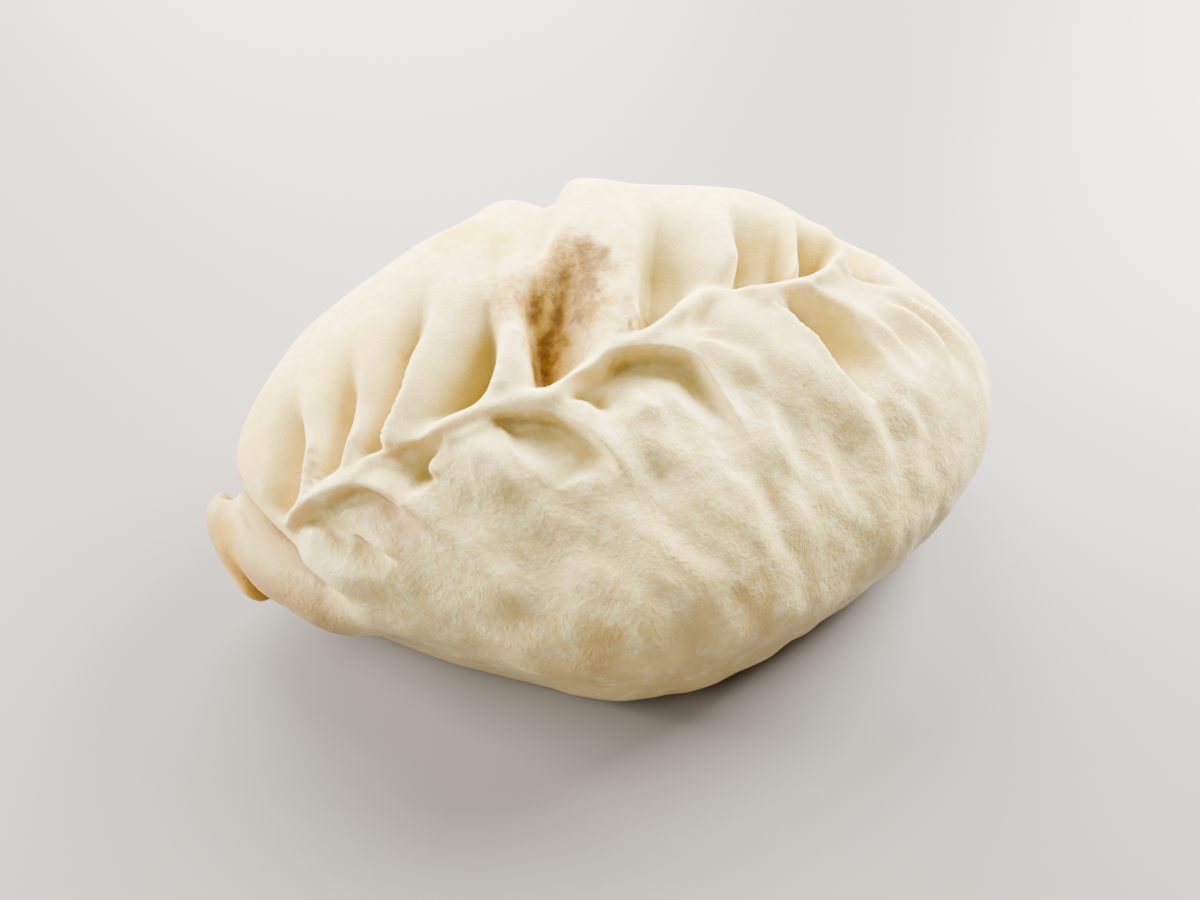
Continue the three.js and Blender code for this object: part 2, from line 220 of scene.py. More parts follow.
NEAR_FOLDS = [
    {"path": [(-51.5, -7), (-47.5, -7.5), (-44.5, -8.5), (-41.5, -10), (-39.5, -12.5), (-38, -15.5),
              (-36, -18.5)],
     "low": RIGHT, "depth": 1.5, "hollow": 4.5, "lip": 1.2, "shoulder": 3.5, "lean": 0.4, "fades": 0.6,
     "grow": 0.2},
    {"path": [(-48, -8.5), (-46, -9), (-43.5, -10)],
     "low": RIGHT, "depth": 1.2, "hollow": 2.5, "lip": 0.5, "shoulder": 1.5, "opens": 0.3},
    {"path": [(-51.5, -7.5), (-48.5, -10), (-46.5, -12.5), (-44.5, -14.5)],
     "low": LEFT, "depth": 1.4, "hollow": 2.5, "lip": 0.6, "shoulder": 3, "opens": 0.3, "grow": 0},
    {"path": [(-46.5, -12.5), (-44.5, -14), (-42.5, -16.5), (-41, -19)],
     "low": RIGHT, "depth": 1.2, "hollow": 3.5, "lip": 0.7, "edge": 1, "shoulder": 2.5, "opens": 0.5,
     "grow": 0, "shade_tint": 0.9, "fades": 0.6},
    {"path": [(-38.5, -8), (-36, -7.5), (-33, -8), (-30, -8.5)],
     "low": RIGHT, "depth": 1.4, "hollow": 5, "shoulder": 2, "lip": 0.5, "opens": 0.25, "fades": 0.7},
    {"path": [(-30, -8.5), (-32, -9), (-33.5, -10), (-34, -11), (-33.5, -13)],
     "low": RIGHT, "depth": 2.8, "hollow": 6, "shoulder": 3, "lip": 0.8, "edge": 1.4, "opens": 0.6,
     "fades": 0.75, "grow": 0, "shade_tint": 1.2},
    {"path": [(-24.5, -9.5), (-22.5, -9), (-19.5, -10), (-16.5, -11.5), (-14, -14), (-12.5, -16.5),
              (-11.5, -19), (-11.5, -21.5)],
     "low": RIGHT, "depth": 3.2, "hollow": 7.5, "lip": 1, "edge": 1.1, "shoulder": 5, "lean": 0.5,
     "fades": 0.75, "opens": 0.2, "grow": 0.1, "shade_tint": 0.6, "slope": 1.1},
    {"path": [(-14.5, -9), (-11.5, -8), (-8.5, -7.5), (-5, -6.5), (-1.5, -7), (1.5, -8), (4.5, -10),
              (5.5, -13.5), (6, -16.5), (6.5, -19.5), (7, -23.5)],
     "low": RIGHT, "depth": 3.6, "hollow": 8, "lip": 1, "edge": 1.1, "shoulder": 5, "lean": 0.5,
     "fades": 0.6, "opens": 0.15, "grow": 0.1, "shade_tint": 0.6, "slope": 1.1, "widens": 0.2},
    {"path": [(-14, -8.5), (-10.5, -10), (-9, -11.5), (-7, -12.5)],
     "low": LEFT, "depth": 3, "hollow": 5, "lip": 0.5, "shoulder": 3, "opens": 0.3, "edge": 1.6,
     "shade_tint": 1.6, "fades": 0.6},
    {"path": [(6.5, -7), (8, -4.5), (11.5, -3), (15.5, -3.5)],
     "low": RIGHT, "depth": 1.6, "hollow": 6, "lip": 0.4, "shoulder": 2, "edge": 2, "opens": 0.3},
    {"path": [(5.5, -6.5), (8.5, -7.5), (11.5, -9.5), (12.5, -11.5)],
     "low": LEFT, "depth": 1.0, "hollow": 4, "lip": 0.6, "shoulder": 3, "opens": 0.3},
    {"path": [(19.5, -4), (21.5, -6), (22.5, -8.5), (24, -11), (25, -14), (26, -16.5), (27.5, -19.5),
              (29, -22.5)],
     "low": LEFT, "depth": 5, "hollow": 7, "lip": 1, "shoulder": 5, "edge": 1.2, "opens": 0.2,
     "fades": 0.5, "grow": 0.1, "slope": 0.7, "shade_tint": 1, "widens": 0.2},
    {"path": [(38.5, -5.5), (42.5, -7.5), (45.5, -11), (47, -15), (47, -20.5)],
     "low": LEFT, "depth": 1.7, "hollow": 3.6, "lip": 0.9, "shoulder": 4, "edge": 1.6, "opens": 0.3,
     "fades": 0.5, "shade_tint": 1.1},
    {"path": [(43.5, -5), (47.5, -6.5), (50.5, -10), (52.5, -14.5), (53, -19.5)],
     "low": LEFT, "depth": 1.7, "hollow": 3.6, "lip": 0.9, "shoulder": 4, "edge": 1.6, "opens": 0.3,
     "fades": 0.5, "shade_tint": 1.1},
    {"path": [(34, -7.5), (37.5, -11), (40, -15), (41, -18.5)],
     "low": LEFT, "depth": 1.1, "hollow": 3.6, "lip": 0.7, "shoulder": 4, "edge": 1.8, "opens": 0.4,
     "fades": 0.5, "shade_tint": 1},
    {"path": [(12, -11), (14, -16), (15, -22.5), (14.5, -29), (13, -34.5)],
     "low": LEFT, "depth": 1.0, "hollow": 5, "lip": 0.25, "shoulder": 6, "edge": 3, "opens": 0.5,
     "fades": 0.5},
    {"path": [(17.5, -18), (20.5, -25), (21, -30.5), (19.5, -34.5)],
     "low": LEFT, "depth": 1.0, "hollow": 5, "lip": 0.25, "shoulder": 6, "edge": 3, "opens": 0.5,
     "fades": 0.5},
    {"path": [(27.5, -19), (29.5, -24), (30, -29.5), (28.5, -32.5)],
     "low": LEFT, "depth": 0.9, "hollow": 5, "lip": 0.25, "shoulder": 6, "edge": 3, "opens": 0.5,
     "fades": 0.5},
    {"path": [(6, -22.5), (8, -27), (8, -33), (7.5, -37.5)],
     "low": LEFT, "depth": 0.9, "hollow": 5, "lip": 0.25, "shoulder": 6, "edge": 3, "opens": 0.5,
     "fades": 0.5},
    {"path": [(34.5, -20), (36.5, -26), (36.5, -30)],
     "low": LEFT, "depth": 0.9, "hollow": 5, "lip": 0.25, "shoulder": 6, "edge": 3, "opens": 0.5,
     "fades": 0.5},
    {"path": [(-4, -4), (-1.5, -2.5), (0.5, -1.5), (2, -1.5)],
     "low": RIGHT, "depth": 0.9, "hollow": 3, "lip": 0.5, "shoulder": 2, "edge": 0.8, "opens": 0.2,
     "fades": 0.8},
]

# Strands of stretched dough run along the seam and over the hollows. Under a strand, a share
# of the hollow is held up. Fingers are the softer rolls of dough between the folds.
STRAND = {"opens": 0.12, "fades": 0.6, "holds": 0.8}
STRANDS = [
    {"path": [(-54, -6.5), (-50.5, -6.5), (-47, -7), (-43, -7), (-39.5, -6.5), (-37, -5)],
     "raised": 1.5, "breadth": 1.4},
    {"path": [(-53, -6), (-50.5, -5.5), (-48, -4.5), (-46, -1.5), (-44.5, 4)],
     "raised": 1.3, "breadth": 1.1},
    {"path": [(-51, -6.5), (-46, -6), (-42.5, -5), (-40, -2.5), (-37, 2)],
     "raised": 1.0, "breadth": 1.1},
    {"path": [(-35.5, -7), (-31, -7), (-27.5, -7), (-23.5, -7), (-19, -7.5), (-15, -8.5), (-11, -7),
              (-7, -6), (-3.5, -2.5), (-1, 3.5)],
     "raised": 1.5, "breadth": 1.6},
    {"path": [(-31, -8.5), (-28.5, -9), (-26, -9), (-22, -8)],
     "raised": 0.8, "breadth": 1.1},
    {"path": [(-22.5, -7), (-19.5, -4.5), (-18, -0.5), (-17, 4), (-16.5, 9), (-16, 15)],
     "raised": 1.6, "breadth": 2, "fades": 0.3},
    {"path": [(-9, -6.5), (-4, -5), (0, -4.5), (4, -3.5), (8, -1.5), (11.5, 0.5), (14.5, 1.5)],
     "raised": 1.3, "breadth": 1.4},
    {"path": [(0, -5.5), (4.5, -6.5), (8.5, -9.5), (12, -13), (15.5, -18)],
     "raised": 0.9, "breadth": 2.2, "holds": 0.3},
    {"path": [(14.5, -1.5), (20, -2.5), (26, -2.5), (30.5, -1.5), (34, 1), (37, 6.5)],
     "raised": 1.2, "breadth": 1.3},
    {"path": [(26, -2), (27, 1.5), (29, 6.5), (33.5, 15)],
     "raised": 1.4, "breadth": 1.3},
    {"path": [(27, -3), (30, -1.5), (34, 1), (36.5, 4.5), (39, 9.5)],
     "raised": 1.2, "breadth": 1.4},
    {"path": [(16, -3), (20.5, -4.5), (23, -8.5), (24.5, -13.5), (26, -18)],
     "raised": 1.2, "breadth": 2, "holds": 0.3},
    {"path": [(23, -2), (26.5, -3.5), (30, -6), (33, -9), (36, -13.5), (37.5, -18)],
     "raised": 0.7, "breadth": 1.8, "holds": 0.5},
]
FINGER = {"opens": 0.3, "fades": 0.5, "holds": 0}
FINGERS = [
    {"path": [(-12, -7), (-9.5, -6.5), (-6.5, -5), (-3.5, -2), (-1, 2.5), (2.5, 8)],
     "raised": 1.5, "breadth": 1.8, "holds": 0.5},
    {"path": [(-50.5, -5), (-47, -4), (-45, -1), (-44.5, 5), (-45.5, 12)],
     "raised": 1.6, "breadth": 2.6},
    {"path": [(-44.5, -6), (-41, -5), (-38.5, -1), (-36.5, 3), (-33.5, 10), (-32, 18)],
     "raised": 1.6, "breadth": 2.8},
    {"path": [(-38, -8), (-34.5, -5.5), (-31, -2), (-27, 3), (-22.5, 9), (-20, 18)],
     "raised": 1.2, "breadth": 4},
    {"path": [(-2, -1.5), (1, 3), (4, 8)],
     "raised": 1.2, "breadth": 2},
    {"path": [(12, -0.5), (15, 3), (17.5, 8), (20, 14), (23, 22)],
     "raised": 1.6, "breadth": 4},
    {"path": [(6, -3), (14, -6), (19, -11), (22, -18), (23, -26)],
     "raised": 1.2, "breadth": 5},
    {"path": [(-7.5, -17), (-3.5, -13.5), (0, -13.5), (2, -16.5), (2.5, -22)],
     "raised": 1.2, "breadth": 4},
    {"path": [(-31, -12), (-28, -12), (-25, -14), (-22, -20)],
     "raised": 1.5, "breadth": 3.5},
    {"path": [(-53, -7.5), (-51.5, -10.5), (-49, -14), (-45.5, -17.5), (-41, -20)],
     "raised": 2.2, "breadth": 3},
]

# A groove parts the body from the tail's roll. Each dent has a place, a radius and a depth, and
# a depth below nought is a bulge. Each kind of lump has its sizes along the bun, across it and
# up it, its height, and its share on the smoother far side, and is turned with the near folds.
TAIL_GROOVE = [(-59.5, 11, 19), (-60, 4, 19.5), (-58, -2.5, 21), (-55, -8.5, 21), (-51, -13.5, 20),
               (-46, -18, 18)]
GROOVE_DEPTH = 6
GROOVE_WIDTH = 4.2
GROOVE_REACH = 12
GROOVE_OPENS = 0.15
GROOVE_FADES = 0.65
DENTS = [
    (-35, -10.5, 37, 2.6, 0.8),
    (-16.5, -12, 39, 2, 1),
    (-6.5, -23, 36, 2.8, 1),
    (-14.5, -28, 33, 4, 0.6),
    (-23.5, -26, 33, 5, 0.8),
    (-27.5, -30.5, 27, 4.5, 0.8),
    (-21, -36, 23, 4, 0.6),
    (-8, -40, 23, 4, 0.6),
    (-46, -19, 8, 8, 3.6),
    (-36, -33, 9, 10, 2.4),
    (45, 16, 30, 12, 2.2),
    (54, 0, 30, 8, 1.3),
    (30, 19, 39, 11, -2),
    (-20, 23, 42, 10, -1.6),
    (-9, 32, 41, 6, -1.6),
    (5, 31, 42, 8, -1),
]
LUMPS = [
    ((7, 12, 9), 0.8, 0.4),
    ((3, 6, 5), 0.42, 0.12),
    ((1.5, 2.2, 2), 0.06, 0.3),
]
LUMPS_TURNED = np.array([[0.9, 0.43, 0], [-0.43, 0.9, 0], [0, 0, 1]])
BUMPY_FRONT = (6, 14)
BUMPY_FROM = (2, 10)
CALM_END = (34, 46)
CALM_SHARE = 0.7
CREST_FULL = 2
HOLLOW_SHADE_FULL = 6


def curve_points(path, shares):
    """Points along a smooth curve through a path, at shares of its spans."""
    path = np.array(path, float)
    path = np.vstack([2 * path[0] - path[1], path, 2 * path[-1] - path[-2]])
    spans = len(path) - 3
    place = np.clip(shares, 0, 1) * spans
    first = np.minimum(place.astype(int), spans - 1)
    u = (place - first)[:, None]
    a, b, c, d = (path[first + i] for i in range(4))
    third = (3 * b - a - 3 * c + d) * u ** 3
    return 0.5 * (2 * b + (c - a) * u + (2 * a - 5 * b + 4 * c - d) * u ** 2 + third)


def follow(path, reach):
    """Which points are near a path, how far off, on which side, its left, and how far along it."""
    route = curve_points(path, np.linspace(0, 1, ROUTE_STEPS * len(path)))
    if route.shape[1] == 2:
        route = np.column_stack([route, dome_height(route[:, 0], route[:, 1])])
    low, high = route.min(0) - reach, route.max(0) + reach
    near = np.flatnonzero(((skin > low) & (skin < high)).all(1))
    points, normals = skin[near], outward[near]
    lengths = np.linalg.norm(np.diff(route, axis=0), axis=1)
    before = np.append(0, np.cumsum(lengths))
    away = np.full(len(points), np.inf)
    along, side = np.zeros(len(points)), np.ones(len(points))
    left = np.zeros_like(points)
    for i, (start, end) in enumerate(zip(route[:-1], route[1:])):
        step = end - start
        share = np.clip((points - start) @ step / (step @ step), 0, 1)
        offset = points - start - share[:, None] * step
        distance = np.linalg.norm(offset, axis=1)
        new = distance < away
        across = np.cross(normals[new], step)
        across /= np.linalg.norm(across, axis=1)[:, None]
        away[new] = distance[new]
        along[new] = (before[i] + share[new] * lengths[i]) / before[-1]
        side[new] = np.where((offset[new] * across).sum(1) < 0, -1, 1)
        left[new] = across
    return near, away, side, left, along


bpy.ops.object.mode_set(mode="EDIT")
bpy.ops.mesh.select_all(action="DESELECT")
bpy.ops.object.mode_set(mode="OBJECT")
far_folds = [{**FOLD, **FAR_FOLD, **fold} for fold in FAR_FOLDS]
near_folds = [{**FOLD, **fold} for fold in NEAR_FOLDS]
crisp_paths = [fold["path"] for fold in far_folds + near_folds if fold["edge"] < CRISP_EDGE]
shares = np.linspace(0, CRISP_SHARE, CRISP_STEPS)
routes = np.vstack([curve_points(path, shares) for path in crisp_paths])
routes = np.column_stack([routes, dome_height(routes[:, 0], routes[:, 1])])
crisp = kdtree.KDTree(len(routes))
for i, route_point in enumerate(routes):
    crisp.insert(route_point, i)
crisp.balance()
for face in dough.data.polygons:
    face.select = crisp.find(face.center)[2] < CRISP_ZONE
bpy.ops.object.mode_set(mode="EDIT")
bpy.ops.mesh.subdivide(number_cuts=1, ngon=False)
bpy.ops.object.mode_set(mode="OBJECT")
skin = get_points(dough)
outward = get_normals(dough)

near, away, side, left, along = follow(SEAM, SEAM_REACH)
beyond = np.where(skin[:, 1] > FAR_SIDE, 1.0, 0.0)
beyond[near] = smooth(*SEAM_EASE, away * side)
sink = np.zeros(len(skin))
rise = np.zeros(len(skin))
hold = np.zeros(len(skin))
shade_tint = np.zeros(len(skin))
drag = np.zeros_like(skin)
for fold in far_folds + near_folds:
    near, away, side, left, along = follow(fold["path"], max(fold["hollow"], 2 * fold["shoulder"]))
    across = away * side * -fold["low"]
    strength = smooth(JUST_BEFORE, fold["opens"], along) * (1 - smooth(fold["fades"], 1, along))
    if fold in far_folds:
        strength = strength * beyond[near]
    wider = 1 + fold["grow"] * along
    edge = fold["edge"] * wider
    up = smooth(0, 1, across / edge)
    behind = 1 - smooth(0, 1, (across - edge) / (fold["shoulder"] - edge / 2))
    reach = fold["hollow"] * (NARROW + (1 - NARROW) * smooth(JUST_BEFORE, fold["widens"], along))
    hollow = np.maximum(1 + across / reach, 0) ** fold["slope"]
    deep = strength * fold["depth"] * np.where(across < 0, hollow, 1 - up)
    sink[near] += deep ** 3
    # Painted shade: the deeper the hollow, the more yellow shade is painted into it.
    shade_tint[near] = np.maximum(shade_tint[near], deep * fold["shade_tint"])
    lip = np.where(across < 0, 0, strength * up * behind)
    rise[near] += (fold["lip"] * lip) ** 2
    drag[near] += left * (fold["low"] * fold["lean"] * lip)[:, None]
strands = [{**STRAND, **strand} for strand in STRANDS]
fingers = [{**FINGER, **finger} for finger in FINGERS]
for ridge in strands + fingers:
    near, away, side, left, along = follow(ridge["path"], RIDGE_REACH * ridge["breadth"])
    strength = smooth(0, ridge["opens"], along) * (1 - smooth(ridge["fades"], 1, along))
    swell = strength * np.exp(-((away / ridge["breadth"]) ** 2))
    rise[near] += (ridge["raised"] * swell) ** 2
    held = ridge["holds"] * strength * np.exp(-((away / ridge["breadth"]) ** 4))
    hold[near] = np.maximum(hold[near], held)
above = smooth(*PLEATS_FROM, skin[:, 2])
sunk = np.cbrt(sink) * (1 - hold) * above
shade_tint *= (1 - hold) * above
lift = np.sqrt(rise) * above - sunk
drag *= above[:, None]
near, away, side, left, along = follow(TAIL_GROOVE, GROOVE_REACH)
groove = GROOVE_DEPTH * np.exp(-((away / GROOVE_WIDTH) ** 2))
groove *= smooth(0, GROOVE_OPENS, along) * (1 - smooth(GROOVE_FADES, 1, along))
lift[near] -= groove
# The groove gets painted shade, like the hollows.
shade_tint[near] = np.maximum(shade_tint[near], groove)
off_foot = smooth(0, FOOT_HOLD, skin[:, 2])
for x, y, z, radius, depth in DENTS:
    away = np.linalg.norm(skin - (x, y, z), axis=1)
    lift -= depth * np.exp(-((away / radius) ** 2)) * off_foot
calm = CALM_SHARE * smooth(*CALM_END, skin[:, 0])
bumpy = smooth(*BUMPY_FRONT, -skin[:, 1]) * smooth(*BUMPY_FROM, skin[:, 2]) * (1 - calm)
for sizes, height, on_far_side in LUMPS:
    places = skin @ LUMPS_TURNED.T / sizes
    lumps = np.array([noise.noise(Vector(place)) for place in places])
    lift += height * lumps * (on_far_side + (1 - on_far_side) * bumpy) * off_foot
set_points(dough, (skin + outward * lift[:, None] + drag) * MM)
crests = dough.data.attributes.new("crest", "FLOAT", "POINT")
crests.data.foreach_set("value", np.clip(np.sqrt(rise) / CREST_FULL, 0, 1))
# The hollow attribute carries the painted shade of the hollows and the groove.
hollows = dough.data.attributes.new("hollow", "FLOAT", "POINT")
hollows.data.foreach_set("value", np.clip(shade_tint / HOLLOW_SHADE_FULL, 0, 1))
bpy.ops.object.mode_set(mode="EDIT")
bpy.ops.mesh.select_mode(type="VERT")
bpy.ops.mesh.select_all(action="SELECT")
bpy.ops.mesh.vertices_smooth(factor=0.5, repeat=1)
bpy.ops.object.mode_set(mode="OBJECT")

# The tail: the end of the dough, rolled round the end of the bun and pinched to a lip.
# It is two rolls that are joined to the body and then eased into it.
TAIL = [
    ([(-59, 12.5, 15), (-58, 6, 14.5), (-56.5, -0.5, 14), (-53, -5.5, 14), (-49, -10, 13),
      (-43.5, -11.5, 12), (-37, -11.5, 9.5)], 6),
    ([(-60.5, 10.5, 16), (-63, 9, 15.5), (-63, 5, 13.5), (-62, 1.5, 11), (-60.5, -3, 7.5)], 3),
]
ROLL_SIDES = 48
ROLL_RINGS = 64
ROUTE_PARTS = 60
STEP = 0.01
TINY = 1e-6
TAIL_ENDS_AT = -42
SHARP = math.radians(35)
CREASE_FROM = 4
CREASE_TO = 22
CREASE_SHADE_REACH = 1.9
CREASE_DEPTH = 1.1
CREASE_WIDTH = 1.3

# The crease between the tail and the body is a narrow cut with brown shade painted into it. It melts
# away where the dough was pressed on: towards the near side, and along the far part of the rim.
MELTS_FROM = (8, 17)
MELT_REACH = 9
RIM_AT = -61.5
RIM_MELTS_FROM = (-4, 5)
RIM_MELT_REACH = 5
MELT_FILL = 0.08
MELT_LEAST = 0.1
MELT_FULL = 4
MELT_SMOOTHED = 0.7
MELT_ROUNDS = 24
rolls = []
for path, radius in TAIL:
    bpy.ops.mesh.primitive_uv_sphere_add(segments=ROLL_SIDES, ring_count=ROLL_RINGS, radius=1)
    roll = bpy.context.object
    ball = get_points(roll)
    turn = np.arccos(np.clip(ball[:, 2], -1, 1)) / math.pi
    centre = curve_points(path, turn)
    tangent = curve_points(path, turn + STEP) - curve_points(path, turn - STEP)
    tangent /= np.linalg.norm(tangent, axis=1)[:, None]
    out = np.cross(tangent, (0, 0, 1))
    out /= np.linalg.norm(out, axis=1)[:, None]
    over = np.cross(out, tangent)
    route = curve_points(path, np.linspace(0, 1, ROUTE_PARTS))
    length = np.linalg.norm(np.diff(route, axis=0), axis=1).sum()
    end = np.minimum(np.minimum(turn, 1 - turn) * length / radius, 1)
    ring = np.hypot(ball[:, 0], ball[:, 1])
    ring[ring < TINY] = 1
    size = radius * np.sqrt(1 - (1 - end) ** 2) / ring
    place = centre + out * (size * ball[:, 0])[:, None] + over * (size * ball[:, 1])[:, None]
    set_points(roll, place * MM)
    bpy.ops.object.mode_set(mode="EDIT")
    bpy.ops.mesh.select_all(action="SELECT")
    bpy.ops.mesh.normals_make_consistent(inside=False)
    bpy.ops.object.mode_set(mode="OBJECT")
    rolls.append(roll)
bpy.ops.object.select_all(action="DESELECT")
bpy.context.view_layer.objects.active = dough
for roll in rolls:
    join = dough.modifiers.new("join", "BOOLEAN")
    join.operation = "UNION"
    join.solver = "EXACT"
    join.object = roll
    bpy.ops.object.modifier_apply(modifier=join.name)
    bpy.data.objects.remove(roll)
dough.select_set(True)
bpy.ops.object.mode_set(mode="EDIT")
bpy.ops.mesh.select_mode(type="EDGE")
bpy.ops.mesh.select_all(action="DESELECT")
bpy.ops.mesh.edges_select_sharp(sharpness=SHARP)
bpy.ops.object.mode_set(mode="OBJECT")
crease = []
for vertex in dough.data.vertices:
    by_tail_roll = vertex.co.x < TAIL_ENDS_AT * MM
    if vertex.select and by_tail_roll and CREASE_FROM * MM < vertex.co.z < CREASE_TO * MM:
        crease.append(vertex.index)
skin = get_points(dough) / MM
out = get_normals(dough)[crease]
nearest = kdtree.KDTree(len(crease))
for i, index in enumerate(crease):
    nearest.insert(skin[index], i)
nearest.balance()
rim_melt = RIM_MELT_REACH * smooth(*RIM_MELTS_FROM, skin[crease, 1])
near_melt = MELT_REACH * smooth(*MELTS_FROM, -skin[crease, 1])
melt = np.where(skin[crease, 0] < RIM_AT, rim_melt, near_melt)
crease_shades = dough.data.attributes.new("crease", "FLOAT", "POINT")
dough.data.vertices.foreach_set("select", np.zeros(len(skin), bool))
for i in np.flatnonzero(skin[:, 0] < TAIL_ENDS_AT + MELT_REACH):
    index, gap = nearest.find(skin[i])[1:]
    reach = melt[index]
    fill = MELT_FILL * reach * max(1 - gap / reach, 0) ** 2 if reach > MELT_LEAST else 0
    share = 1 - min(reach / MELT_FULL, 1)
    cut = share * CREASE_DEPTH * math.exp(-((gap / CREASE_WIDTH) ** 2))
    skin[i] += out[index] * (fill - cut)
    # Painted shade: how much brown shade goes into the crease here.
    crease_shades.data[i].value = share * math.exp(-((gap / CREASE_SHADE_REACH) ** 2))
    dough.data.vertices[i].select = bool(gap < MELT_SMOOTHED * reach)
set_points(dough, skin * MM)
bpy.ops.object.mode_set(mode="EDIT")
bpy.ops.mesh.select_mode(type="VERT")
bpy.ops.mesh.vertices_smooth(factor=0.5, repeat=MELT_ROUNDS)
bpy.ops.object.mode_set(mode="OBJECT")
bpy.ops.object.shade_smooth()

# The skin of the dough: matt and faintly see-through, cream, paler along the raised lips and
# strands, with yellow shade painted down in the hollows, and juice that seeped out of the
# filling here and there.
finish = bpy.data.materials.new("steamed dough")
finish.use_nodes = True
nodes, links = finish.node_tree.nodes, finish.node_tree.links
surface = nodes["Principled BSDF"]
MM_PER_METRE = 1000
surface.inputs["Subsurface Weight"].default_value = 0.4
surface.inputs["Subsurface Radius"].default_value = (0.0022, 0.0016, 0.0009)
surface.inputs["Subsurface Scale"].default_value = 1.0
where = nodes.new("ShaderNodeTexCoord")


def new_node(kind, **settings):
    node = nodes.new(kind)
    for name, value in settings.items():
        setattr(node, name, value)
    return node


def noise_of(size, detail, rough, stretch=(1, 1, 1)):
    """Noise with features about size millimetres wide."""
    node = new_node("ShaderNodeTexNoise")
    node.inputs["Scale"].default_value = 1
    node.inputs["Detail"].default_value = detail
    node.inputs["Roughness"].default_value = rough
    mapping = new_node("ShaderNodeMapping")
    mapping.inputs["Scale"].default_value = [MM_PER_METRE / (size * part) for part in stretch]
    links.new(where.outputs["Object"], mapping.inputs["Vector"])
    links.new(mapping.outputs["Vector"], node.inputs["Vector"])
    return node.outputs["Fac"]


def ramp(value, low, high, out_low=0.0, out_high=1.0):
    node = new_node("ShaderNodeMapRange", interpolation_type="SMOOTHSTEP")
    node.inputs["From Min"].default_value = low
    node.inputs["From Max"].default_value = high
    node.inputs["To Min"].default_value = out_low
    node.inputs["To Max"].default_value = out_high
    links.new(value, node.inputs["Value"])
    return node.outputs["Result"]


def combine(operation, first, second):
    node = new_node("ShaderNodeMath", operation=operation)
    for socket, value in zip(node.inputs, (first, second)):
        if isinstance(value, (int, float)):
            socket.default_value = value
        else:
            links.new(value, socket)
    return node.outputs["Value"]


def paint(base, tone, mask, share=1):
    """A tone laid over a base where a mask is, at a share of its full strength."""
    node = new_node("ShaderNodeMix", data_type="RGBA")
    if isinstance(base, tuple):
        node.inputs[6].default_value = (*base, 1)
    else:
        links.new(base, node.inputs[6])
    node.inputs[7].default_value = (*tone, 1)
    links.new(mask if share == 1 else combine("MULTIPLY", mask, share), node.inputs[0])
    return node.outputs[2]


TALL = 0.5
RAGGED = 0.35
SOLID = 0.35
squash = new_node("ShaderNodeVectorMath", operation="MULTIPLY")
links.new(where.outputs["Object"], squash.inputs[0])
squash.inputs[1].default_value = (1, 1, TALL)
squashed = squash.outputs["Vector"]


def spot(x, y, z, radius):
    """A patch round a place on the bun, in millimetres, tall and with a ragged edge."""
    node = new_node("ShaderNodeVectorMath", operation="DISTANCE")
    links.new(squashed, node.inputs[0])
    node.inputs[1].default_value = (x * MM, y * MM, z * MM * TALL)
    distance = combine("DIVIDE", node.outputs["Value"], radius * MM)
    frayed = combine("ADD", distance, combine("MULTIPLY", ramp(patches, 0.3, 0.7, -1, 1), RAGGED))
    return ramp(frayed, SOLID, 1.0, 1, 0)


def spots(*places):
    """One mask over several patches, each given by its place and radius."""
    result = spot(*places[0])
    for place in places[1:]:
        result = combine("MAXIMUM", result, spot(*place))
    return result


CREAM = (0.80, 0.62, 0.22)
PALE = (0.87, 0.725, 0.32)
PINCHED = (0.92, 0.82, 0.44)
WARM_CREAM = (0.76, 0.55, 0.14)
TAN_AND_LOW_SHADE = (0.60, 0.43, 0.17)
HOLLOW_SHADE_YELLOW = (0.40, 0.285, 0.05)
JUICE_AND_SHADE_BROWN = (0.15, 0.072, 0.011)
JUICE_ORANGE = (0.40, 0.22, 0.018)
RIM_ORANGE = (0.64, 0.36, 0.05)
JUICE_TAN = (0.54, 0.34, 0.08)
JUICE_AND_SHADE_YELLOW = (0.66, 0.47, 0.05)
PAINTED_GLINT = (0.94, 0.87, 0.62)
MEAT_PINK = (0.62, 0.22, 0.10)
TAIL_SHADE_TAN = (0.39, 0.23, 0.08)
CREASE_SHADE_BROWN = (0.27, 0.135, 0.03)
BLISTERED_TO = (-0.013, -0.006)
BLISTERED_SLANT = 0.12
BELLY_SHADE_HEIGHTS = (0.006, 0.040)
TAIL_SKIN_TO = (-0.054, -0.044)
TAIL_SHADE_UNDER = (0.015, 0.021)
UNEVEN_FRONT = 0.008
UNEVEN_END = 0.004
CALM_SKIN = 0.1
BLISTER_BUMP = 1.5
WRINKLE_BUMP = 0.28
PORE_BUMP = 0.8
MATT = 0.6
BLISTER_GLOSS = 0.2
WET_GLOSS = 0.12
BLISTER_COAT = 0.35
plan = new_node("ShaderNodeSeparateXYZ")
links.new(where.outputs["Object"], plan.inputs[0])
patches = noise_of(5, 3, 0.6)
mottle = noise_of(2.2, 4, 0.65)
slanted = combine("MULTIPLY", plan.outputs["X"], BLISTERED_SLANT)
down_front = combine("ADD", plan.outputs["Y"], slanted)
uneven_front = combine("ADD", down_front, combine("MULTIPLY", patches, UNEVEN_FRONT))
blistered = ramp(uneven_front, *BLISTERED_TO, 1, CALM_SKIN)
hollow_shade_mark = new_node("ShaderNodeAttribute", attribute_name="hollow").outputs["Fac"]
colour = paint(CREAM, PALE, ramp(mottle, 0.42, 0.62))
# Painted shade: yellow shade down in the hollows and the tail groove.
colour = paint(colour, HOLLOW_SHADE_YELLOW, ramp(hollow_shade_mark, 0, 0.9, 0, 1))
warm = spots((-47, 1, 36, 15), (-38, 5, 41, 12), (-54, 8, 25, 12))
colour = paint(colour, WARM_CREAM, warm, share=0.85)
